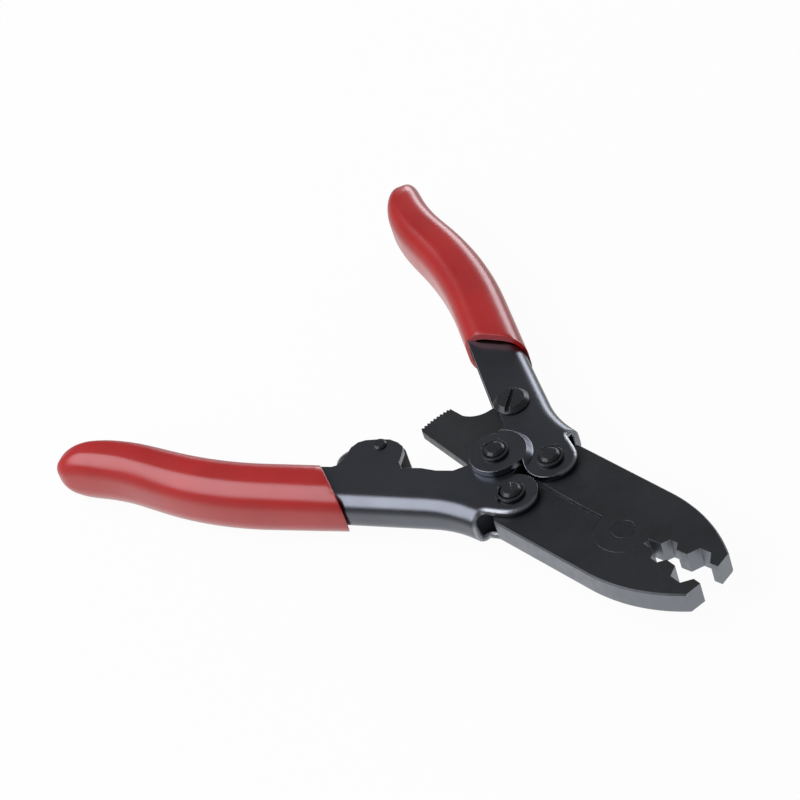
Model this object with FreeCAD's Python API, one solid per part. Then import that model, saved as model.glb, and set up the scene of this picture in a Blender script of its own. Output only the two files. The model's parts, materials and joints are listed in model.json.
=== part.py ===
import FreeCAD, Part
import math
import os

# Coaxial crimping tool with compound-lever jaws, shown open as it lies on a bench.
# Frame: X towards the nose, Y towards the upper handle, Z up, millimetres.
# The origin is on the jaw pivot axis, in the plane of the jaws' lower faces.
# Every length ahead of the geometry is a driving dimension or is tied to one.

V = FreeCAD.Vector
full_turn = 360.0
os.makedirs("parts", exist_ok=True)

# sheet, plates and running gaps, stacked along Z
jaw_thick = 7.0
wall_thick = 2.0
side_gap = 0.15
ear_gap = 0.1
lap_gap = 0.1
mid_z = jaw_thick / 2
wall_in = jaw_thick + side_gap
wall_out = wall_in + wall_thick
ear_in = wall_out + ear_gap
ear_out = ear_in + wall_thick

# pivots of the four-bar linkage, open
hinge = (-48.07, 0.0)
link = (-34.6, 7.8)
open_half_deg = 6.4

# jaws
jaw_half_width = 17.3
jaw_front_x = 2.0
jaw_arc_r = 50.0
nose_outer = (30.1, 8.6)
nose_r = 31.0
jaw_rear_x = -34.2
jaw_corner = 1.2
mate_rear_x = -20.0
mate_lap_x = 4.0
rim_from_y = 11.0
jaw_lobe_r = 7.0
rear_half_gap = 0.4
jaw_chamfer = 0.4
lap_r = 8.3
lap_fit = 0.07
big_nest_x = 24.7
big_nest_flats = 6.48
small_nest_x = 15.0
small_nest_flats = 4.52

# pins and rings
pin_r = 2.95
pin_fit = 0.05
open_pivot_fit = 0.4
pin_stand = 1.95
pin_chamfer = 0.7
jaw_pin_r = 3.2
ring_thick = 0.9
ring_r = 3.85
ring_gap_deg = 34.0
ring_lug = 1.5
ring_lug_deg = 13.0
ring_seat = 0.05

# handle channel
lobe_r = 7.4
ear_r = 7.7
web_end_x = -37.5
ramp_in_r = 8.5
ramp_out_r = 10.4
ramp_land = 0.35
bend_r = 4.2
spine_front = [(web_end_x, 21.3), (-46.5, 22.2)]
web_foot = [(web_end_x - 4.0, 7.0), (web_end_x, 8.0)]
side_overlap = 5.0
spine_turn_r = 34.0
edge_front = [(-64.5, 14.6)]
neck_edge = [(-60.0, 13.0), (-55.6, 10.4)]
lobe_end_deg = -132.0
ear_start_deg = -18.0
ear_end_deg = 130.0

# grips, along a centre line of three straight runs joined by arcs
grip_line = [(-62.0, 21.6), (-116.0, 52.3), (-148.0, 60.9), (-164.5, 69.4)]
grip_width = [16.4, 15.5, 13.6, 11.4]
grip_sway = [0.0, 0.6, 0.6, 1.2]
grip_longer = {1: 0.4, -1: 5.8}
grip_turn_r = 75.0
grip_tail_r = 36.0
grip_lip = 1.3
grip_height = 17.0
grip_round = 4.5
grip_slant = 6.5
grip_toe_r = 8.8
grip_heel_r = 4.6
steel_end_gap = 7.0
cut_inner = (-91.0, 30.0)
cut_outer = (-76.0, 36.9)

# ratchet
sector_thick = 3.0
tooth_tip_r = 32.0
tooth_depth = 0.75
tooth_count = 9
tooth_start_deg = 163.6
tooth_pitch_deg = 2.12
sector_hub_r = 6.4
sector_hub_deg = (252.0, 40.0)
sector_toe = (-78.9, -1.75)
sector_heel = (-59.0, -3.9)
sector_brow = (-78.5, 9.4)
sector_bight = [(-67.4, 15.6), (-69.2, 11.6), (-73.0, 9.3)]
screw_at = (-60.2, 18.3)
screw_shank_r = 2.4
screw_head_r = 5.3
screw_head_h = 1.8
screw_bevel = 1.3
slot_width = 1.2
slot_depth = 1.0
slot_deg = -58.9
boss_r = 4.5
boss_wrap_deg = 105.0
nut_flats = 8.0
nut_height = 3.2
nut_deg = 29.0
nut_chamfer = 0.3
screw_end = 0.4
hub_fit = 0.05
hub_r = 5.2
screw_hub_r = 4.4
pawl_ear = [(-70, -17.2), (-72, -16.3), (-74.3, -12.4), (-75.6, -11.3), (-78, -10.9), (-81, -11.3),
            (-84, -13.0), (-87.2, -15.3), (-88.6, -17.2), (-88.9, -19.8), (-87.4, -24.0), (-87.4, -27.2),
            (-90.5, -31.4), (-84, -34), (-68, -24)]
pawl_at = (-82.0, -14.5)
pawl_hub_r = 2.9
pawl_thick = 7.1
pawl_reach = 7.6
pawl_beak = [(4.6, 4.6), (6.8, 4.0), (7.4, 3.5), (6.5, 1.1)]
pawl_rivet_r = 1.5
rivet_head_r = 2.1
rivet_head_h = 0.9
rivet_crown = 0.55
spring_at = (-87.3, -21.2)
spring_wire_r = 0.6
spring_coil_r = 4.9
spring_turns = 4
spring_post_r = 1.0


def save(shape, name):
    shape.exportStep("parts/" + name + ".step")
    print(name, round(shape.Volume, 1), len(shape.Solids))


def flat(edges, z0, z1):
    wire = Part.Wire(Part.__sortEdges__(edges))
    face = Part.Face(wire)
    face.translate(V(0, 0, z0))
    return face.extrude(V(0, 0, z1 - z0))


def vec(p, s=1):
    return V(p[0], s * p[1], 0)


def chain(points, s=1):
    pts = [vec(p, s) for p in points]
    return [Part.makeLine(a, b) for a, b in zip(pts, pts[1:])]


def loop(points, s=1):
    return chain(list(points) + [points[0]], s)


def cylinder(at, r, z0, z1):
    return Part.makeCylinder(r, z1 - z0, V(at[0], at[1], z0))


def polar(at, r, deg):
    a = math.radians(deg)
    return (at[0] + r * math.cos(a), at[1] + r * math.sin(a))


def arc(at, r, deg0, deg1, s=1):
    ends = [vec(polar(at, r, deg), s) for deg in (deg0, (deg0 + deg1) / 2, deg1)]
    return Part.Arc(*ends).toShape()


def tangent_deg(at, r, point, side):
    dx = point[0] - at[0]
    dy = point[1] - at[1]
    toward = math.degrees(math.atan2(dy, dx))
    return toward + side * math.degrees(math.acos(r / math.hypot(dx, dy)))


def centre_line(s):
    """Grip centre line of one handle; both rear ends lean a little towards +Y."""
    line = [vec((p[0], p[1] + s * sway)) for p, sway in zip(grip_line, grip_sway)]
    line[-1] += line[-1].sub(line[-2]).normalize() * grip_longer[s]
    return [(p.x, p.y) for p in line]


def beside(points, sign, inset):
    """Points set off from a grip's centre line by its half width there."""
    out = []
    for i, p in enumerate(points):
        a = points[max(i - 1, 0)]
        b = points[min(i + 1, len(points) - 1)]
        w = grip_width[i] / 2 - inset
        n = math.hypot(b[0] - a[0], b[1] - a[1])
        out.append((p[0] + sign * w * (b[1] - a[1]) / n, p[1] - sign * w * (b[0] - a[0]) / n))
    return out


def pulled_back(points, d):
    """The points of a line, the last one moved back along its run by d."""
    end = vec(points[-1])
    back = vec(points[-2]).sub(end).normalize() * d
    return points[:-1] + [(end.x + back.x, end.y + back.y)]


def bent(points, radii, s=1):
    """Straight runs through the points, with an arc of its own radius at each inner one."""
    edges = []
    at = vec(points[0], s)
    for p, q, r in zip(points[1:], points[2:], radii):
        corner = vec(p, s)
        back = at.sub(corner).normalize()
        on = vec(q, s).sub(corner).normalize()
        half = back.getAngle(on) / 2
        reach = r / math.tan(half)
        start = corner + back * reach
        end = corner + on * reach
        middle = corner + (back + on).normalize() * (r / math.sin(half) - r)
        edges += [Part.makeLine(at, start), Part.Arc(start, middle, end).toShape()]
        at = end
    edges.append(Part.makeLine(at, vec(points[-1], s)))
    return edges


def turned_over(shape):
    """Half a turn about the X axis through the mid-plane."""
    twin = shape.copy()
    twin.rotate(V(0, 0, mid_z), V(1, 0, 0), 180)
    return twin


def mirror_z(shape):
    return shape.mirror(V(0, 0, mid_z), V(0, 0, 1))


def both_sides(shape):
    return shape.fuse(mirror_z(shape))


# Jaws: one plate outline, a half-lap disc at the pivot, two hexagonal half nests.
mate = math.radians(open_half_deg)


def on_mate(x, y=0.0):
    return (x * math.cos(mate) - y * math.sin(mate), x * math.sin(mate) + y * math.cos(mate))


def half_nest(x, flats):
    half = flats / math.sqrt(3)
    return [on_mate(x - half), on_mate(x - half / 2, flats / 2),
            on_mate(x + half / 2, flats / 2), on_mate(x + half)]


def jaw_plate(bore_r):
    centre = (jaw_front_x, jaw_half_width - jaw_arc_r)
    nose_deg = math.degrees(math.atan2(nose_outer[1] - centre[1], nose_outer[0] - centre[0]))
    corner = (jaw_rear_x, jaw_half_width - jaw_corner)
    deg = tangent_deg(link, jaw_lobe_r, corner, 1)
    front = polar(centre, jaw_arc_r, nose_deg)
    edges = [arc(centre, jaw_arc_r, nose_deg, 90)]
    edges += chain([(jaw_front_x, jaw_half_width), (jaw_rear_x + jaw_corner, jaw_half_width), corner,
                    polar(link, jaw_lobe_r, deg)])
    edges.append(arc(link, jaw_lobe_r, deg, 270))
    mating = [(link[0], link[1] - jaw_lobe_r), (mate_rear_x, rear_half_gap)]
    mating += [(-mate_lap_x, rear_half_gap), on_mate(mate_lap_x)]
    mating += half_nest(small_nest_x, small_nest_flats)
    mating += half_nest(big_nest_x, big_nest_flats)
    mating += [on_mate(nose_r), front]
    edges += chain(mating)
    body = flat(edges, 0, jaw_thick)
    rim = [e for e in body.Edges if on_outer_rim(e)]
    body = body.makeChamfer(jaw_chamfer, rim)
    body = body.cut(cylinder((0, 0), lap_r + lap_fit, 0, mid_z + lap_gap / 2))
    body = body.fuse(cylinder((0, 0), lap_r, mid_z + lap_gap / 2, jaw_thick))
    body = body.cut(cylinder(link, bore_r, 0, jaw_thick))
    return body.removeSplitter()


def on_outer_rim(edge):
    box = edge.BoundBox
    if box.ZLength > 0.01:
        return False
    middle = edge.valueAt((edge.FirstParameter + edge.LastParameter) / 2)
    return middle.y > rim_from_y and middle.x > jaw_rear_x + 0.75 * jaw_corner


upper_jaw = jaw_plate(pin_r + open_pivot_fit).cut(cylinder((0, 0), jaw_pin_r + pin_fit, 0, jaw_thick))
lower_jaw = turned_over(jaw_plate(pin_r + pin_fit)).cut(cylinder((0, 0), jaw_pin_r, 0, jaw_thick))
save(upper_jaw, "upper_jaw")
save(lower_jaw, "lower_jaw")
save(cylinder((0, 0), jaw_pin_r, 0, jaw_thick), "jaw_pivot_pin")


# Pins with a bevel and a retaining ring at both ends.
def bevelled_pin(at, seat_z):
    top = seat_z + pin_stand
    pin = cylinder(at, pin_r, 2 * mid_z - top, top)
    return pin.makeChamfer(pin_chamfer, [e for e in pin.Edges if e.Closed])


def retaining_ring(at, seat_z, turn):
    """Open ring with two square lugs at its gap."""
    z0 = seat_z + ring_seat
    z1 = z0 + ring_thick
    ring = cylinder(at, ring_r, z0, z1).cut(cylinder(at, pin_r, z0, z1))
    half = math.radians(ring_gap_deg / 2)
    reach = 2 * ring_r
    slit = loop([(0, 0), (reach, reach * math.tan(half)), (reach, -reach * math.tan(half))])
    ring = ring.cut(moved(flat(slit, z0, z1), at, turn))
    for side in (-1, 1):
        lug_deg = turn + side * (ring_gap_deg / 2 + ring_lug_deg)
        x0 = ring_r - ring_lug / 2
        x1 = ring_r + ring_lug / 2
        lug = loop([(x0, -ring_lug / 2), (x1, -ring_lug / 2), (x1, ring_lug / 2), (x0, ring_lug / 2)])
        ring = ring.fuse(moved(flat(lug, z0, z1), at, lug_deg).cut(cylinder(at, pin_r, z0, z1)))
    return ring.removeSplitter()


def moved(shape, at, turn):
    shape.rotate(V(0, 0, 0), V(0, 0, 1), turn)
    shape.translate(V(at[0], at[1], 0))
    return shape


lower_link = (link[0], -link[1])
pins = {"handle_pivot": (hinge, ear_out, 160), "upper_jaw_pivot": (link, wall_out, 140),
        "lower_jaw_pivot": (lower_link, wall_out, 215)}
for name, (at, seat, turn) in pins.items():
    save(bevelled_pin(at, seat), name + "_pin")
    ring = retaining_ring(at, seat, turn)
    save(ring, name + "_ring_top")
    save(mirror_z(ring), name + "_ring_bottom")


# Handles: a channel bent from sheet, open towards the other handle.
def steel_line(s):
    """Grip centre line, cut back to where the steel ends inside the sleeve."""
    return pulled_back(centre_line(s), steel_end_gap)


def spine(s):
    return spine_front + beside(steel_line(s), 1, grip_lip)[1:]


def edge(s):
    return edge_front + pulled_back(beside(steel_line(s), -1, grip_lip)[1:], grip_slant)


def steel_outline(s):
    outer = spine(s)
    inner = edge(s)
    turns = [grip_turn_r, grip_tail_r]
    return bent(outer, [spine_turn_r] + turns, s) + bent(inner, turns, s) + chain([outer[-1], inner[-1]], s)


def on_spine(e, points):
    """True for a level edge of the blank that runs along the spine."""
    if e.BoundBox.ZLength > 0.01:
        return False
    middle = e.valueAt((e.FirstParameter + e.LastParameter) / 2)
    probe = Part.Vertex(V(middle.x, abs(middle.y), 0))
    return min(run.distToShape(probe)[0] for run in chain(points)) < 2.5


def skin(s):
    front = chain([edge_front[0]] + neck_edge + web_foot + [spine_front[0]], s)
    blank = flat(steel_outline(s) + front, 2 * mid_z - wall_out, wall_out)
    return blank.makeFillet(bend_r, [e for e in blank.Edges if on_spine(e, spine(s))])


def shifted(points, d):
    """The points of a line moved by d, square to the runs that they join."""
    out = []
    for i, p in enumerate(points):
        a = vec(points[i - 1]) if i else vec(p) - vec(points[1]) + vec(p)
        b = vec(points[i + 1]) if i + 1 < len(points) else vec(p) - vec(points[i - 1]) + vec(p)
        u = vec(p).sub(a).normalize()
        w = b.sub(vec(p)).normalize()
        n = V(-(u.y + w.y), u.x + w.x, 0).normalize()
        k = d / math.cos(u.getAngle(w) / 2)
        out.append((p[0] + n.x * k, p[1] + n.y * k))
    return out


def channel(s):
    """Skin less its inside, which is open towards the other handle."""
    inner = shifted(spine(s), wall_thick)
    x0 = inner[-1][0] - grip_width[0]
    x1 = web_end_x + side_overlap
    away = [inner[-1], (x0, inner[-1][1]), (x0, grip_line[0][1]), (grip_line[1][0], -lobe_r),
            (x1, -lobe_r), (x1, inner[0][1]), inner[0]]
    radii = [spine_turn_r - wall_thick, grip_turn_r + wall_thick, grip_tail_r - wall_thick]
    hollow = flat(bent(inner, radii, s) + chain(away, s), 2 * mid_z - wall_in, wall_in)
    return skin(s).cut(hollow)


def neck_plate(s, ear, z0, z1):
    """Flat side of the neck, from the ear at the hinge to the lobe at the jaw pivot."""
    shoulder = (web_end_x, spine_front[0][1] - bend_r)
    rear = (edge_front[0][0] + side_overlap, shoulder[1])
    deg = tangent_deg(link, lobe_r, shoulder, -1)
    edges = chain([rear, shoulder, polar(link, lobe_r, deg)], s)
    edges.append(arc(link, lobe_r, deg, lobe_end_deg, s))
    edges += chain([polar(link, lobe_r, lobe_end_deg), polar(hinge, ear, ear_start_deg)], s)
    edges.append(arc(hinge, ear, ear_start_deg, ear_end_deg - full_turn, s))
    edges += chain([polar(hinge, ear, ear_end_deg), neck_edge[1], neck_edge[0], edge_front[0], rear], s)
    return flat(edges, z0, z1)


def upper_side():
    plate = neck_plate(1, ear_r, wall_in, wall_out).cut(cylinder(hinge, ramp_out_r, wall_in, wall_out))
    ear = neck_plate(1, ear_r, ear_in, ear_out).common(cylinder(hinge, ramp_in_r, ear_in, ear_out))
    rise = [V(ramp_in_r, 0, ear_in), V(ramp_in_r, 0, ear_out), V(ramp_in_r + ramp_land, 0, ear_out),
            V(ramp_out_r, 0, wall_out), V(ramp_out_r, 0, wall_in), V(ramp_out_r - ramp_land, 0, wall_in)]
    face = Part.Face(Part.makePolygon(rise + [rise[0]]))
    ramp = face.revolve(V(0, 0, 0), V(0, 0, 1), full_turn)
    ramp.translate(V(hinge[0], hinge[1], 0))
    ramp = ramp.common(neck_plate(1, ear_r, wall_in, ear_out))
    return plate.fuse([ear, ramp])


def lower_side():
    plate = neck_plate(-1, ear_r, wall_in, wall_out)
    return plate.fuse(flat(loop(pawl_ear), wall_in, wall_out))


def through(at, r):
    return cylinder(at, r, mid_z - 2 * ear_out, mid_z + 2 * ear_out)


upper_bore = [through(hinge, pin_r), through(link, pin_r), through(screw_at, screw_shank_r)]
upper_channel = channel(1)
upper_channel = upper_channel.cut(both_sides(cylinder(hinge, ramp_out_r, wall_in - 1, wall_out + 1)))
upper_handle = upper_channel.fuse(both_sides(upper_side())).cut(upper_bore).removeSplitter()
save(upper_handle, "upper_handle")

lower_bore = [through(hinge, pin_r + pin_fit), through(lower_link, pin_r), through(pawl_at, pawl_rivet_r)]
lower_handle = channel(-1).fuse(both_sides(lower_side())).cut(lower_bore).removeSplitter()
save(lower_handle, "lower_handle")


# Grips: a thick soft sleeve over each channel, cut off at a slant in front.
def grip(s):
    """Sleeve blank, its end slanted back on the inner side."""
    line = centre_line(s)
    inner = pulled_back(beside(line, -1, 0), grip_slant)
    outer = beside(line, 1, 0)
    turns = [grip_turn_r, grip_tail_r, grip_toe_r, grip_heel_r, grip_tail_r, grip_turn_r]
    outline = bent(inner + outer[::-1], turns, s) + chain([inner[0], outer[0]], s)
    body = flat(outline, mid_z - grip_height / 2, mid_z + grip_height / 2)
    rims = [e for e in body.Edges if e.BoundBox.ZLength < 0.01
            and e.BoundBox.XMin < line[0][0] - side_overlap]
    return body.makeFillet(grip_round, rims)


def front_cut(s):
    dx = cut_outer[0] - cut_inner[0]
    dy = cut_outer[1] - cut_inner[1]
    a = (cut_inner[0] - 2 * dx, cut_inner[1] - 2 * dy)
    b = (cut_outer[0] + 2 * dx, cut_outer[1] + 2 * dy)
    away = cut_inner[1] - 4 * dx
    return flat(loop([a, b, (b[0], away), (a[0], away)], s), mid_z - grip_height, mid_z + grip_height)


for s, name in ((1, "upper_grip"), (-1, "lower_grip")):
    save(grip(s).cut(front_cut(s)).cut(skin(s)), name)


# Ratchet: a toothed sector bolted inside the upper handle, its pawl in the lower one.

def sector():
    """Plate with a hub at each hole, a toothed rim and a rounded bight behind the screw."""
    root_r = tooth_tip_r - tooth_depth
    teeth = []
    for i in range(tooth_count):
        deg = tooth_start_deg + i * tooth_pitch_deg
        teeth.append(polar(hinge, root_r, deg))
        teeth.append(polar(hinge, tooth_tip_r, deg + 0.5 * tooth_pitch_deg))
    teeth.append(polar(hinge, root_r, tooth_start_deg + tooth_count * tooth_pitch_deg))
    low_hub = polar(hinge, sector_hub_r, sector_hub_deg[0])
    high_hub = polar(hinge, sector_hub_r, sector_hub_deg[1])
    boss_deg = tangent_deg(screw_at, boss_r, high_hub, 1)
    tail = polar(screw_at, boss_r, boss_deg + boss_wrap_deg)
    edges = chain([sector_bight[2], sector_brow] + teeth + [sector_toe, sector_heel, low_hub])
    edges.append(arc(hinge, sector_hub_r, sector_hub_deg[0] - full_turn, sector_hub_deg[1]))
    edges += chain([high_hub, polar(screw_at, boss_r, boss_deg)])
    edges.append(arc(screw_at, boss_r, boss_deg, boss_deg + boss_wrap_deg))
    edges += chain([tail, sector_bight[0]])
    edges.append(Part.Arc(*[vec(p) for p in sector_bight]).toShape())
    low = 2 * mid_z - wall_in
    hubs = [cylinder(hinge, hub_r, low + hub_fit, wall_in - hub_fit), cylinder(screw_at, screw_hub_r, low, wall_in)]
    plate = flat(edges, mid_z - sector_thick / 2, mid_z + sector_thick / 2).fuse(hubs)
    return plate.cut([cylinder(hinge, pin_r, low, wall_in), cylinder(screw_at, screw_shank_r, low, wall_in)])


save(sector(), "ratchet_sector")


# Slotted screw through the upper handle, with a plain nut below.
head = cylinder(screw_at, screw_head_r, wall_out, wall_out + screw_head_h)
rim = [e for e in head.Edges if e.Closed and e.CenterOfMass.z > wall_out + screw_head_h / 2]
head = head.makeChamfer(screw_bevel, rim)
nut_z1 = 2 * mid_z - wall_out
shank = cylinder(screw_at, screw_shank_r, nut_z1 - nut_height - screw_end, wall_out)
slot = Part.makeBox(3 * screw_head_r, slot_width, 2 * slot_depth)
slot.translate(V(-1.5 * screw_head_r, -slot_width / 2, wall_out + screw_head_h - slot_depth))
slot.rotate(V(0, 0, 0), V(0, 0, 1), slot_deg)
slot.translate(V(screw_at[0], screw_at[1], 0))
save(head.fuse(shank).cut(slot).removeSplitter(), "sector_screw")
hexagon = [polar(screw_at, nut_flats / math.sqrt(3), full_turn * i / 6 + nut_deg) for i in range(6)]
nut = flat(loop(hexagon), nut_z1 - nut_height, nut_z1).cut(shank)
under = [e for e in nut.Edges if not e.Closed and e.BoundBox.ZMax < nut_z1 - nut_height / 2]
nut = nut.makeChamfer(nut_chamfer, under)
save(nut, "sector_nut")


# Pawl: hub and blunt beak pointing at the handle pivot.
def pawl():
    k = pawl_reach / math.hypot(*pawl_beak[2])
    beak = [(pawl_at[0] + k * p[0], pawl_at[1] + k * p[1]) for p in pawl_beak]
    top = tangent_deg(pawl_at, pawl_hub_r, beak[0], 1)
    low = tangent_deg(pawl_at, pawl_hub_r, beak[-1], -1)
    edges = chain([polar(pawl_at, pawl_hub_r, low), beak[3], beak[2], beak[1], beak[0],
                   polar(pawl_at, pawl_hub_r, top)])
    edges.append(arc(pawl_at, pawl_hub_r, top, low + full_turn))
    half = pawl_thick / 2
    body = flat(edges, mid_z - half, mid_z + half)
    return body.cut(cylinder(pawl_at, pawl_rivet_r + pin_fit, mid_z - pawl_thick, mid_z + pawl_thick))


save(pawl(), "ratchet_pawl")


def rivet(at, r, head_r, head_h):
    head = cylinder(at, head_r, wall_out, wall_out + head_h)
    top = [e for e in head.Edges if e.Closed and e.CenterOfMass.z > wall_out + head_h / 2]
    head = head.makeChamfer(rivet_crown, top)
    return cylinder(at, r, 2 * mid_z - wall_out, wall_out).fuse([head, mirror_z(head)]).removeSplitter()


save(rivet(pawl_at, pawl_rivet_r, rivet_head_r, rivet_head_h), "pawl_rivet")
save(cylinder(spring_at, spring_post_r, 2 * mid_z - wall_in, wall_in), "spring_post")
coil = cylinder(spring_at, spring_coil_r + spring_wire_r, mid_z - spring_turns * spring_wire_r,
                mid_z + spring_turns * spring_wire_r)
coil = coil.cut(cylinder(spring_at, spring_coil_r - spring_wire_r, 0, jaw_thick))
save(coil, "pawl_spring")
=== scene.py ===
import json
import math

import bpy
from mathutils import Matrix, Vector

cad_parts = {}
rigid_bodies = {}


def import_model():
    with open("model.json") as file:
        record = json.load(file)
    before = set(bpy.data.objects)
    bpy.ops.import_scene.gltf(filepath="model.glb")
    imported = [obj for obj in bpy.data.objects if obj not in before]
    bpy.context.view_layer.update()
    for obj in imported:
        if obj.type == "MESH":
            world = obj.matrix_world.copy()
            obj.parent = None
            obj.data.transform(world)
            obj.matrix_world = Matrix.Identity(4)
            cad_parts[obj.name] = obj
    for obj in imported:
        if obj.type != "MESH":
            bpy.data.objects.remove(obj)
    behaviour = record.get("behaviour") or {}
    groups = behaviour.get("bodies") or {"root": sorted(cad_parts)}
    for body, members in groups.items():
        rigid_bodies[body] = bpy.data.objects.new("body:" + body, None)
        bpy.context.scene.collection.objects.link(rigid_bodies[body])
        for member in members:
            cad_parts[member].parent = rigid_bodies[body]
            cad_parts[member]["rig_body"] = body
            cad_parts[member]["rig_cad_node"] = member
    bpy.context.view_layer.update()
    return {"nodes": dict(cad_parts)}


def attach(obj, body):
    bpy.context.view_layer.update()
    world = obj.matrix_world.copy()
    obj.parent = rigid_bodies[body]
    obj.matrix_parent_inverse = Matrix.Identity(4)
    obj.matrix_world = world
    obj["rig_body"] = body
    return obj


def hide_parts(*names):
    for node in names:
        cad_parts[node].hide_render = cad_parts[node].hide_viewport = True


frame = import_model()
print("frame loaded:", len(frame["nodes"]), "CAD nodes")

mm = 0.001
midHeight = 3.5 * mm  # middle plane of the jaws
toolCentre = (-60.0 * mm, 0.0, 0.0)  # lamps and floor are set out round it


# Small helpers.
def deselectAll():
    if bpy.context.object and bpy.context.object.mode != "OBJECT":
        bpy.ops.object.mode_set(mode="OBJECT")
    bpy.ops.object.select_all(action="DESELECT")


def makeActive(obj):
    deselectAll()
    obj.select_set(True)
    bpy.context.view_layer.objects.active = obj


def addModifier(obj, kind, **values):
    modifier = obj.modifiers.new(kind.title(), kind)
    for key, value in values.items():
        setattr(modifier, key, value)
    makeActive(obj)
    bpy.ops.object.modifier_apply(modifier=modifier.name)


def settle(obj):
    # puts the place, turn and size of the object into its mesh
    makeActive(obj)
    bpy.ops.object.transform_apply(location=True, rotation=True, scale=True)


def smooth(obj, degrees):
    makeActive(obj)
    bpy.ops.object.shade_smooth_by_angle(angle=math.radians(degrees))


def paint(obj, material):
    obj.data.materials.clear()
    obj.data.materials.append(material)


# Material helpers.
def newMaterial(name):
    material = bpy.data.materials.new(name)
    material.use_nodes = True
    material.node_tree.nodes.clear()
    return material, material.node_tree


def node(tree, kind, values=None, **settings):
    made = tree.nodes.new(kind)
    for key, value in settings.items():
        setattr(made, key, value)
    for key, value in (values or {}).items():
        made.inputs[key].default_value = value
    return made


def noiseOf(tree, coords, scale, detail=3.0, stretch=None):
    source = coords
    if stretch:
        mapping = node(tree, "ShaderNodeMapping", {"Scale": stretch})
        tree.links.new(coords, mapping.inputs["Vector"])
        source = mapping.outputs["Vector"]
    noise = node(tree, "ShaderNodeTexNoise", {"Scale": scale, "Detail": detail})
    tree.links.new(source, noise.inputs["Vector"])
    return noise.outputs["Fac"]


def remap(tree, value, low, high, fromLow=0.35, fromHigh=0.65):
    ranged = node(tree, "ShaderNodeMapRange", {"From Min": fromLow, "From Max": fromHigh,
                                               "To Min": low, "To Max": high})
    tree.links.new(value, ranged.inputs["Value"])
    return ranged.outputs["Result"]


def mixColours(tree, factor, first, second):
    mix = node(tree, "ShaderNodeMix", data_type="RGBA")
    tree.links.new(factor, mix.inputs["Factor"])
    for socket, colour in ((mix.inputs[6], first), (mix.inputs[7], second)):
        if isinstance(colour, bpy.types.NodeSocket):
            tree.links.new(colour, socket)
        else:
            socket.default_value = (*colour, 1)
    return mix.outputs[2]


def bump(tree, height, distance, strength, normal=None):
    made = node(tree, "ShaderNodeBump", {"Distance": distance, "Strength": strength})
    tree.links.new(height, made.inputs["Height"])
    if normal:
        tree.links.new(normal, made.inputs["Normal"])
    return made.outputs["Normal"]


# Red vinyl of the grips.
vinylLook = {
    "red": (0.505, 0.014, 0.013),
    "deepRed": (0.450, 0.011, 0.010),
    "roughness": (0.30, 0.35),
    "peelScale": 1400.0,
    "peelDepth": 0.00003,
    "peelStrength": 0.08,
    "coat": 0.6,
    "coatRoughness": 0.24,
    "ior": 1.55,
    "flow": 55.0,
    "handling": 260.0,
    "handlingStretch": (1.0, 1.0, 0.35),
}


def makeVinyl():
    material, tree = newMaterial("redVinyl")
    coords = node(tree, "ShaderNodeTexCoord").outputs["Object"]
    cloud = noiseOf(tree, coords, vinylLook["flow"], 2.0)
    handling = noiseOf(tree, coords, vinylLook["handling"], 4.0, vinylLook["handlingStretch"])
    peel = noiseOf(tree, coords, vinylLook["peelScale"], 2.0)
    colour = mixColours(tree, remap(tree, cloud, 0.0, 1.0), vinylLook["red"], vinylLook["deepRed"])
    shader = node(tree, "ShaderNodeBsdfPrincipled", {
        "Coat Weight": vinylLook["coat"], "Coat Roughness": vinylLook["coatRoughness"],
        "IOR": vinylLook["ior"]})
    tree.links.new(colour, shader.inputs["Base Color"])
    tree.links.new(remap(tree, handling, *vinylLook["roughness"]), shader.inputs["Roughness"])
    peeled = bump(tree, peel, vinylLook["peelDepth"], vinylLook["peelStrength"])
    tree.links.new(peeled, shader.inputs["Normal"])
    output = node(tree, "ShaderNodeOutputMaterial")
    tree.links.new(shader.outputs["BSDF"], output.inputs["Surface"])
    return material


# Blackened steel.
# the side colour is a paler metallic colour painted on upright faces, a painted sheen for the brighter
# light on the sides;
# the bare colour is the metal shown along sharp edges, partly by wear and partly as a painted edge
# highlight, metal a look that is metallic all over, bend the radius of a bent back's soft shading
steelLooks = {
    "jawBlack": {
        "dark": (0.013, 0.0138, 0.0155), "pale": (0.020, 0.0212, 0.0235),
        "cut": (0.255, 0.270, 0.297), "roughness": (0.30, 0.40), "wearAndGlint": 0.20,
        "grain": 1900.0, "relief": 0.20, "edge": 0.00016, "scratch": (1.0, 14.0, 1.0)},
    "handleBlack": {
        "dark": (0.148, 0.156, 0.176), "pale": (0.168, 0.177, 0.199), "metal": 1.0,
        "bareAndGlint": (0.58, 0.60, 0.63), "roughness": (0.245, 0.265), "wearAndGlint": 0.9, "bend": 0.0024,
        "grain": 1500.0, "relief": 0.05, "edge": 0.00026, "scratch": (9.0, 1.0, 1.0)},
    "pawlBlack": {
        "dark": (0.012, 0.0125, 0.0140), "pale": (0.020, 0.0210, 0.0230),
        "roughness": (0.34, 0.44),
        "grain": 2300.0, "edge": 0.00015, "scratch": (1.0, 10.0, 1.0)},
    "ratchetBlack": {
        "dark": (0.017, 0.0175, 0.0190), "pale": (0.030, 0.0310, 0.0335),
        "cut": (0.120, 0.124, 0.132), "roughness": (0.30, 0.42),
        "grain": 2300.0, "edge": 0.00015, "scratch": (1.0, 10.0, 1.0)},
    "pinBlack": {
        "dark": (0.014, 0.0145, 0.0160), "pale": (0.026, 0.0270, 0.0295),
        "roughness": (0.26, 0.29),
        "grain": 2600.0, "relief": 0.05, "edge": 0.00018, "scratch": (6.0, 6.0, 1.0)},
    "springSteel": {
        "dark": (0.16, 0.16, 0.17), "pale": (0.30, 0.30, 0.31),
        "cut": (0.30, 0.30, 0.31), "roughness": (0.24, 0.34),
        "grain": 3000.0, "edge": 0.00008, "scratch": (1.0, 1.0, 9.0)},
}
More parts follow.
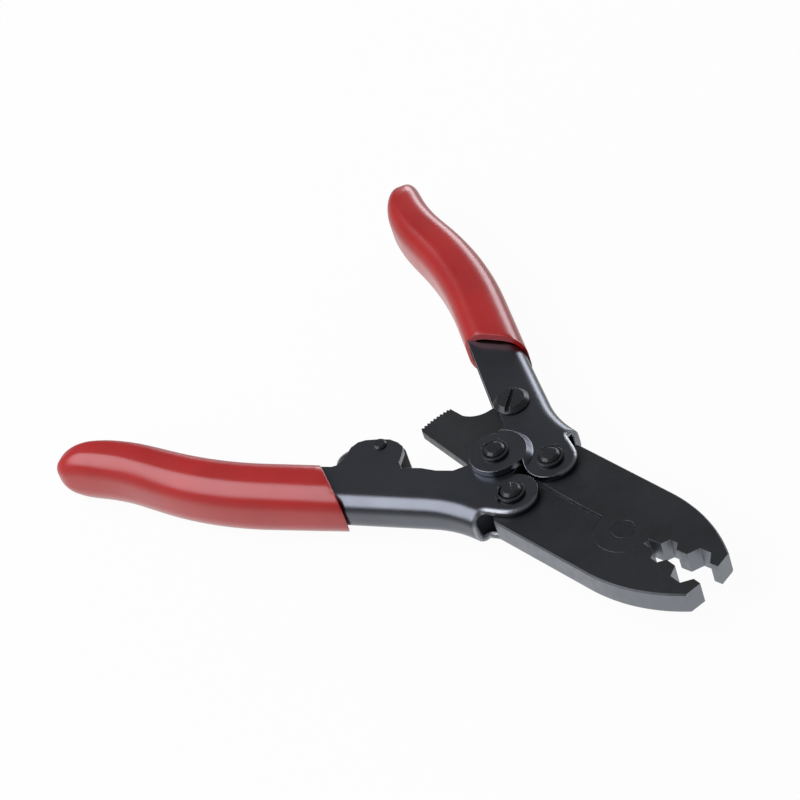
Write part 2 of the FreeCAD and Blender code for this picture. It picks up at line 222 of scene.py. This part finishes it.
# what every steel has unless its own look says otherwise
plainSteel = {
    "cut": None,
    "bareAndGlint": (0.30, 0.31, 0.33),
    "metal": None,
    "bend": None,
    "wearAndGlint": 0.70,
    "relief": 0.15,
    "cloud": 70.0,
    "hairline": 420.0,
    "grainDepth": 0.00002,
    "cutMost": 0.9,
    "ior": 1.5,
}


wearAndGlintRange = (0.72, 0.985)  # how far the rounded and the flat normal part where wear and the painted edge highlight show
uprightRange = (0.3, 0.8)  # height of the normal between an upright face with the painted sheen and a blackened face

# The handles' sheet is bent round along one straight run, the same for both when mirrored.
bendRun = {
    "start": (-0.0465, 0.0222),
    "slope": math.radians(26.8),
    "from": -0.0085,
    "to": -0.0065,
}


def bendMask(tree, coords):
    # 1 near the bent back of a handle, 0 on its flat side plates
    parts = node(tree, "ShaderNodeSeparateXYZ")
    tree.links.new(coords, parts.inputs["Vector"])
    away = node(tree, "ShaderNodeMath", operation="ABSOLUTE")
    tree.links.new(parts.outputs["Y"], away.inputs[0])
    x0, y0 = bendRun["start"]
    s, c = math.sin(bendRun["slope"]), math.cos(bendRun["slope"])
    alongX = node(tree, "ShaderNodeMath", {1: s, 2: -s * x0 - c * y0}, operation="MULTIPLY_ADD")
    tree.links.new(parts.outputs["X"], alongX.inputs[0])
    distance = node(tree, "ShaderNodeMath", {1: c}, operation="MULTIPLY_ADD")
    tree.links.new(away.outputs[0], distance.inputs[0])
    tree.links.new(alongX.outputs[0], distance.inputs[2])
    return remap(tree, distance.outputs[0], 0.0, 1.0, bendRun["from"], bendRun["to"])


def mixNormals(tree, factor, first, second):
    mix = node(tree, "ShaderNodeMix", data_type="VECTOR")
    tree.links.new(factor, mix.inputs["Factor"])
    tree.links.new(first.outputs["Normal"], mix.inputs[4])
    tree.links.new(second.outputs["Normal"], mix.inputs[5])
    unit = node(tree, "ShaderNodeVectorMath", operation="NORMALIZE")
    tree.links.new(mix.outputs[1], unit.inputs[0])
    return unit


def makeSteel(name):
    look = {**plainSteel, **steelLooks[name]}
    material, tree = newMaterial(name)
    coords = node(tree, "ShaderNodeTexCoord").outputs["Object"]
    cloud = noiseOf(tree, coords, look["cloud"], 3.0)
    grain = noiseOf(tree, coords, look["grain"], 2.0)
    hairline = noiseOf(tree, coords, look["hairline"], 3.0, look["scratch"])
    rounded = node(tree, "ShaderNodeBevel", {"Radius": look["edge"]}, samples=6)
    if look["bend"]:
        soft = node(tree, "ShaderNodeBevel", {"Radius": look["bend"]}, samples=10)
        rounded = mixNormals(tree, bendMask(tree, coords), rounded, soft)
    flat = node(tree, "ShaderNodeNewGeometry")
    closeness = node(tree, "ShaderNodeVectorMath", operation="DOT_PRODUCT")
    tree.links.new(rounded.outputs[0], closeness.inputs[0])
    tree.links.new(flat.outputs["Normal"], closeness.inputs[1])
    # partly wear, partly painted highlight: where the rounded normal parts from the face normal, along
    # sharp edges and on the handles also across the softened bend, the colour turns to the paler bare
    # metal
    wearAndGlint = remap(tree, closeness.outputs["Value"], look["wearAndGlint"], 0.0, *wearAndGlintRange)
    body = mixColours(tree, remap(tree, cloud, 0.0, 1.0), look["dark"], look["pale"])
    bareAndGlint = wearAndGlint
    # painted sheen: upright faces take a paler metallic colour that stands for the brighter light
    # falling on the sides
    if look["cut"]:
        parts = node(tree, "ShaderNodeSeparateXYZ")
        tree.links.new(flat.outputs["Normal"], parts.inputs["Vector"])
        steepness = node(tree, "ShaderNodeMath", operation="ABSOLUTE")
        tree.links.new(parts.outputs["Z"], steepness.inputs[0])
        upright = remap(tree, steepness.outputs[0], look["cutMost"], 0.0, *uprightRange)
        most = node(tree, "ShaderNodeMath", operation="MAXIMUM")
        tree.links.new(upright, most.inputs[0])
        tree.links.new(wearAndGlint, most.inputs[1])
        bareAndGlint = most.outputs[0]
    shader = node(tree, "ShaderNodeBsdfPrincipled", {"IOR": look["ior"]})
    coloured = mixColours(tree, bareAndGlint, body, look["cut"] or look["bareAndGlint"])
    tree.links.new(coloured, shader.inputs["Base Color"])
    if look["metal"]:
        shader.inputs["Metallic"].default_value = look["metal"]
    else:
        tree.links.new(bareAndGlint, shader.inputs["Metallic"])
    tree.links.new(remap(tree, hairline, *look["roughness"]), shader.inputs["Roughness"])
    fine = bump(tree, grain, look["grainDepth"], look["relief"], rounded.outputs[0])
    brushed = bump(tree, hairline, look["grainDepth"], look["relief"] / 2, fine)
    tree.links.new(brushed, shader.inputs["Normal"])
    output = node(tree, "ShaderNodeOutputMaterial")
    tree.links.new(shader.outputs["BSDF"], output.inputs["Surface"])
    return material


vinyl = makeVinyl()
steels = {name: makeSteel(name) for name in steelLooks}
print("materials made:", 1 + len(steels))


# Machined pieces, smoothed from their CAD shapes.
machined = {
    "upper_jaw": ("jawBlack", "jaw_steel"),
    "lower_jaw": ("jawBlack", "jaw_steel"),
    "upper_handle": ("handleBlack", "handle_steel"),
    "lower_handle": ("handleBlack", "handle_steel"),
    "ratchet_sector": ("ratchetBlack", "ratchet_steel"),
    "ratchet_pawl": ("pawlBlack", "ratchet_steel"),
}
fittingWords = ("pin", "ring", "screw", "nut", "rivet", "post")
bodyOf = {name: source["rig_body"] for name, source in frame["nodes"].items()}
for name in frame["nodes"]:
    isFitting = any(word in name for word in fittingWords)
    if name not in machined and isFitting and name != "pawl_spring":
        machined[name] = ("pinBlack", "pin_steel")


# broken edges of each steel in millimetres
edgeRound = {"jaw_steel": 0.07, "handle_steel": 0.16, "ratchet_steel": 0.14, "pin_steel": 0.16}
cleaning = {
    "joinWithin": 0.002,
    "flatWithin": 0.3,
    "sharpFrom": 45.0,
    "smoothUpTo": 28.0,
}


def smoothedCopy(name, look, slot):
    source = frame["nodes"][name]
    piece = source.copy()
    piece.data = source.data.copy()
    piece.name = name + "Shown"
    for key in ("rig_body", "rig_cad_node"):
        if key in piece:
            del piece[key]
    bpy.context.scene.collection.objects.link(piece)
    makeActive(piece)
    bpy.ops.mesh.customdata_custom_splitnormals_clear()
    bpy.ops.object.mode_set(mode="EDIT")
    bpy.ops.mesh.select_all(action="SELECT")
    bpy.ops.mesh.remove_doubles(threshold=cleaning["joinWithin"] * mm)
    bpy.ops.mesh.dissolve_limited(angle_limit=math.radians(cleaning["flatWithin"]))
    bpy.ops.object.mode_set(mode="OBJECT")
    addModifier(piece, "BEVEL", width=edgeRound[slot] * mm, segments=2, limit_method="ANGLE",
                angle_limit=math.radians(cleaning["sharpFrom"]), use_clamp_overlap=False)
    smooth(piece, cleaning["smoothUpTo"])
    addModifier(piece, "WEIGHTED_NORMAL", mode="FACE_AREA", weight=100, keep_sharp=True)
    paint(piece, steels[look])
    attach(piece, bodyOf[name])
    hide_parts(name)


for name, (look, slot) in machined.items():
    smoothedCopy(name, look, slot)
print("machined pieces finished:", len(machined))


# Soft grips: sections extruded along each centre line, widest in the palm.
gripShape = {
    "line": [(-62.0, 21.6), (-116.0, 52.8), (-148.0, 60.6), (-164.5, 69.4)],
    "sway": [0.0, 0.6, 0.6, 1.2],
    "longer": {1: 0.8, -1: 4.6},
    "turnRadii": [125.0, 70.0],
    "frontWidth": 16.4,
    "rearWidth": 11.4,
    "widthFall": 3.2,
    "frontHeight": 16.2,
    "belly": 2.6,
    "bellySpan": 0.8,
    "bellyBias": 1.15,
    "corner": 6.0,
    "cornerSteps": 9,
    "turnSteps": 12,
    "bodyStations": 34,
    "tipStations": 16,
    "tipShare": 0.9995,  # just short of the end, where a section has no size
    "toeReach": 18.0,
    "heelReach": 5.5,
    "heelSide": 4.2,
    "crownReach": 12.0,
    "cutInner": (-91.0, 30.0),
    "cutOuter": (-76.0, 36.9),
    "wall": 1.25,
    "mouthHug": 0.87,
    "mouthDepth": 7.0,
    "lipRound": 0.5,
    "lipFrom": 50.0,
    "smoothUpTo": 35.0,
}


def gripPath(side):
    # the centre line of one handle, straight runs joined by arcs
    line = [Vector((x, y + side * sway)) for (x, y), sway in zip(gripShape["line"], gripShape["sway"])]
    line[-1] += (line[-1] - line[-2]).normalized() * gripShape["longer"][side]
    path = [line[0]]
    for before, corner, after, radius in zip(line, line[1:], line[2:], gripShape["turnRadii"]):
        back = (before - corner).normalized()
        onward = (after - corner).normalized()
        half = back.angle(onward) / 2
        reach = radius / math.tan(half)
        centre = corner + (back + onward).normalized() * radius / math.sin(half)
        start = corner + back * reach - centre
        finish = corner + onward * reach - centre
        sweep = start.angle_signed(finish)
        for step in range(gripShape["turnSteps"] + 1):
            spin = Matrix.Rotation(-sweep * step / gripShape["turnSteps"], 2)
            path.append(centre + spin @ start)
    path.append(line[-1])
    return path


def gripStations(side):
    # place, heading, width and height of every section from the front to the tip
    path = gripPath(side)
    lengths = [0.0]
    for a, b in zip(path, path[1:]):
        lengths.append(lengths[-1] + (b - a).length)
    total = lengths[-1]
    toe = gripShape["toeReach"]
    bodyCount = gripShape["bodyStations"]
    tipCount = gripShape["tipStations"]
    places = [(total - toe) * index / bodyCount for index in range(bodyCount)]
    places += [total - toe + gripShape["tipShare"] * toe * math.sin(math.pi / 2 * index / tipCount)
               for index in range(tipCount + 1)]
    stations = []
    for along in places:
        k = max(i for i in range(len(path) - 1) if lengths[i] <= along + 1e-9)
        run = path[k + 1] - path[k]
        point = path[k] + run * (along - lengths[k]) / (lengths[k + 1] - lengths[k])
        share = along / total
        width = gripShape["frontWidth"]
        width += (gripShape["rearWidth"] - width) * share ** gripShape["widthFall"]
        swell = math.sin(gripShape["bellySpan"] * math.pi * share ** gripShape["bellyBias"])
        height = gripShape["frontHeight"] + gripShape["belly"] * swell
        inTip = max(0.0, 1 - (total - along) / toe)
        inHeel = max(0.0, 1 - (total - along) / gripShape["heelReach"])
        inCrown = max(0.0, 1 - (total - along) / gripShape["crownReach"])
        inner = width / 2 - (width - gripShape["heelSide"]) * (1 - math.sqrt(1 - inTip ** 2))
        outer = width / 2 - gripShape["heelSide"] * (1 - math.sqrt(1 - inHeel ** 2))
        heading = run.normalized()
        outward = Vector((heading.y, -heading.x))
        point = point + outward * (outer - inner) / 2
        stations.append((point, heading, inner + outer, height * math.sqrt(1 - inCrown ** 2)))
    return stations


def makeGrip(pieceName, replaced, side):
    stations = gripStations(side)
    points = [Vector((place.x * mm, side * place.y * mm, midHeight)) for place, _, _, _ in stations]
    turns = [math.atan2(side * heading.y, heading.x) for _, heading, _, _ in stations]
    deselectAll()
    bpy.ops.mesh.primitive_plane_add(size=1, location=points[0], rotation=(0, math.pi / 2, turns[0]))
    grip = bpy.context.object
    grip.name = pieceName
    grip.scale = (stations[0][3] * mm, stations[0][2] * mm, 1)
    settle(grip)
    bpy.ops.object.mode_set(mode="EDIT")
    bpy.ops.mesh.select_all(action="SELECT")
    bpy.ops.mesh.bevel(offset=gripShape["corner"] * mm, segments=gripShape["cornerSteps"],
                       affect="VERTICES")
    for index in range(1, len(points)):
        bpy.ops.mesh.extrude_region_move(
            TRANSFORM_OT_translate={"value": points[index] - points[index - 1]})
        spin = (turns[index] - turns[index - 1] + math.pi) % (2 * math.pi) - math.pi
        if abs(spin) > 1e-6:
            bpy.ops.transform.rotate(value=-spin, orient_axis="Z", center_override=points[index])
        wide = stations[index][2] / stations[index - 1][2]
        high = stations[index][3] / stations[index - 1][3]
        bpy.ops.transform.resize(value=(wide, wide, high), center_override=points[index])
    # slanted front, opened into a mouth around the steel
    inner = Vector((*gripShape["cutInner"], 0)) * mm
    outer = Vector((*gripShape["cutOuter"], 0)) * mm
    inner.y *= side
    outer.y *= side
    across = (outer - inner).normalized()
    away = Vector((across.y, -across.x, 0)) * side
    bpy.ops.mesh.select_all(action="SELECT")
    bpy.ops.mesh.bisect(plane_co=inner, plane_no=away, use_fill=True, clear_outer=True)
    bpy.ops.mesh.inset(thickness=gripShape["wall"] * mm)
    bpy.ops.transform.resize(value=(1, 1, gripShape["mouthHug"]), center_override=(0, 0, midHeight))
    first = (points[4] - points[3]).normalized()
    bpy.ops.mesh.extrude_region_move(
        TRANSFORM_OT_translate={"value": first * gripShape["mouthDepth"] * mm})
    bpy.ops.mesh.select_all(action="SELECT")
    bpy.ops.mesh.normals_make_consistent(inside=False)
    bpy.ops.object.mode_set(mode="OBJECT")
    addModifier(grip, "BEVEL", width=gripShape["lipRound"] * mm, segments=3, limit_method="ANGLE",
                angle_limit=math.radians(gripShape["lipFrom"]))
    smooth(grip, gripShape["smoothUpTo"])
    paint(grip, vinyl)
    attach(grip, bodyOf[replaced])
    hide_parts(replaced)


makeGrip("upperGripSleeve", "upper_grip", 1)
makeGrip("lowerGripSleeve", "lower_grip", -1)
print("grips modelled")


# Pawl spring, wound turn by turn.
springShape = {
    "centre": (-87.3, -21.2),
    "coilRadius": 4.9,
    "wireRadius": 0.45,
    "wireSides": 14,
    "turns": 4,
    "pitch": 1.05,
    "stepsPerTurn": 36,
    "smoothUpTo": 40.0,
}


def makeSpring():
    centre = Vector((*springShape["centre"], 0)) * mm
    centre.z = midHeight - springShape["turns"] * springShape["pitch"] * mm / 2
    deselectAll()
    start = centre + Vector((springShape["coilRadius"] * mm, 0, 0))
    bpy.ops.mesh.primitive_circle_add(vertices=springShape["wireSides"],
                                      radius=springShape["wireRadius"] * mm, fill_type="NGON",
                                      location=start, rotation=(math.pi / 2, 0, 0))
    spring = bpy.context.object
    spring.name = "pawlSpringCoil"
    settle(spring)
    bpy.ops.object.mode_set(mode="EDIT")
    bpy.ops.mesh.select_all(action="SELECT")
    steps = springShape["stepsPerTurn"]
    lift = springShape["pitch"] * mm / steps
    for step in range(steps * springShape["turns"]):
        bpy.ops.mesh.extrude_region_move(TRANSFORM_OT_translate={"value": (0, 0, lift)})
        bpy.ops.transform.rotate(value=-2 * math.pi / steps, orient_axis="Z", center_override=centre)
    bpy.ops.mesh.select_all(action="SELECT")
    bpy.ops.mesh.normals_make_consistent(inside=False)
    bpy.ops.object.mode_set(mode="OBJECT")
    smooth(spring, springShape["smoothUpTo"])
    paint(spring, steels["springSteel"])
    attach(spring, bodyOf["pawl_spring"])
    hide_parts("pawl_spring")


makeSpring()
print("spring wound")


# Stage and lamps.
stageLook = {
    "floorHeight": -6.25 * mm,
    "floorSize": 3.0,
    "floorColour": (0.82, 0.82, 0.82),
    "whiteShare": 0.96,
    "horizon": 0.30,
    "fade": (0.30, 0.72),
    "world": 0.15,
    "worldColour": (0.95, 0.97, 1.0),
    "lampColour": (0.94, 0.945, 1.0),
}


def makeFloor():
    deselectAll()
    bpy.ops.mesh.primitive_plane_add(size=stageLook["floorSize"],
                                     location=(toolCentre[0], 0, stageLook["floorHeight"]))
    floor = bpy.context.object
    floor.name = "studioFloor"
    material, tree = newMaterial("palePaper")
    paper = node(tree, "ShaderNodeBsdfDiffuse", {"Color": (*stageLook["floorColour"], 1)})
    white = node(tree, "ShaderNodeEmission", {"Color": (1, 1, 1, 1)})
    path = node(tree, "ShaderNodeLightPath")
    seen = node(tree, "ShaderNodeMath", operation="MAXIMUM")
    seenAll = node(tree, "ShaderNodeMath", operation="MAXIMUM")
    # as seen in the steel, the floor's white glow dims towards the horizon: painted shade in the
    # reflections
    slant = node(tree, "ShaderNodeLayerWeight", {"Blend": 0.5})
    fade = remap(tree, slant.outputs["Facing"], 1.0, stageLook["horizon"], *stageLook["fade"])
    glow = node(tree, "ShaderNodeMix")
    glow.inputs[2].default_value = 1.0
    tree.links.new(path.outputs["Is Glossy Ray"], glow.inputs[0])
    tree.links.new(fade, glow.inputs[3])
    tree.links.new(glow.outputs[0], white.inputs["Strength"])
    share = node(tree, "ShaderNodeMath", {1: stageLook["whiteShare"]}, operation="MULTIPLY")
    mix = node(tree, "ShaderNodeMixShader")
    tree.links.new(path.outputs["Is Camera Ray"], seen.inputs[0])
    tree.links.new(path.outputs["Is Glossy Ray"], seen.inputs[1])
    tree.links.new(seen.outputs[0], seenAll.inputs[0])
    tree.links.new(path.outputs["Is Transmission Ray"], seenAll.inputs[1])
    tree.links.new(seenAll.outputs[0], share.inputs[0])
    tree.links.new(share.outputs[0], mix.inputs["Fac"])
    tree.links.new(paper.outputs[0], mix.inputs[1])
    tree.links.new(white.outputs[0], mix.inputs[2])
    output = node(tree, "ShaderNodeOutputMaterial")
    tree.links.new(mix.outputs[0], output.inputs["Surface"])
    paint(floor, material)


makeFloor()

world = bpy.data.worlds.new("studioWorld")
world.use_nodes = True
sky = world.node_tree.nodes["Background"]
sky.inputs["Color"].default_value = (*stageLook["worldColour"], 1)
sky.inputs["Strength"].default_value = stageLook["world"]
bpy.context.scene.world = world

# aim is the way from the tool to the lamp, along the way its longer side runs
lamps = {
    "overheadSoftbox": {
        "aim": (-0.36, -0.56, 0.75), "along": (-0.39, 0.85, 0.35),
        "distance": 0.9, "size": (0.85, 1.35), "radiance": 2.8},
    "backCard": {
        "aim": (-0.38, 0.91, 0.14), "along": (0.9, 0.4, 0.0),
        "distance": 0.8, "size": (0.34, 1.0), "radiance": 3.6},
}


def addLamp(name, aim, along, distance, size, radiance):
    direction = Vector(aim).normalized()
    across = Vector(along).cross(direction).normalized()
    data = bpy.data.lights.new(name, "AREA")
    data.shape = "RECTANGLE"
    data.size = size[0]
    data.size_y = size[1]
    data.color = stageLook["lampColour"]
    data.energy = radiance * math.pi * size[0] * size[1]
    lamp = bpy.data.objects.new(name, data)
    turned = Matrix((across, direction.cross(across), direction)).transposed().to_4x4()
    lamp.matrix_world = Matrix.Translation(Vector(toolCentre) + direction * distance) @ turned
    bpy.context.scene.collection.objects.link(lamp)


for name, lamp in lamps.items():
    addLamp(name, **lamp)
print("stage and lamps set")

# Camera, placed as in the photograph.
cameraLook = {
    "place": (0.4229, -0.2982, 0.5198),
    "forward": (-0.6549, 0.3827, -0.6517),
    "roll": (0.9385, -0.3453),
    "lens": 122.2,
    "sensor": 36.0,
}


def addCamera():
    data = bpy.data.cameras.new("photoCamera")
    data.lens = cameraLook["lens"]
    data.sensor_width = cameraLook["sensor"]
    camera = bpy.data.objects.new("photoCamera", data)
    forward = Vector(cameraLook["forward"]).normalized()
    level = forward.cross(Vector((0, 0, 1))).normalized()
    upward = level.cross(forward)
    c, s = cameraLook["roll"]
    right = (c * level + s * upward).normalized()
    up = right.cross(forward)
    turned = Matrix((right, up, -forward)).transposed().to_4x4()
    camera.matrix_world = Matrix.Translation(cameraLook["place"]) @ turned
    bpy.context.scene.collection.objects.link(camera)
    bpy.context.scene.camera = camera


addCamera()
bpy.context.scene.view_settings.view_transform = "Standard"
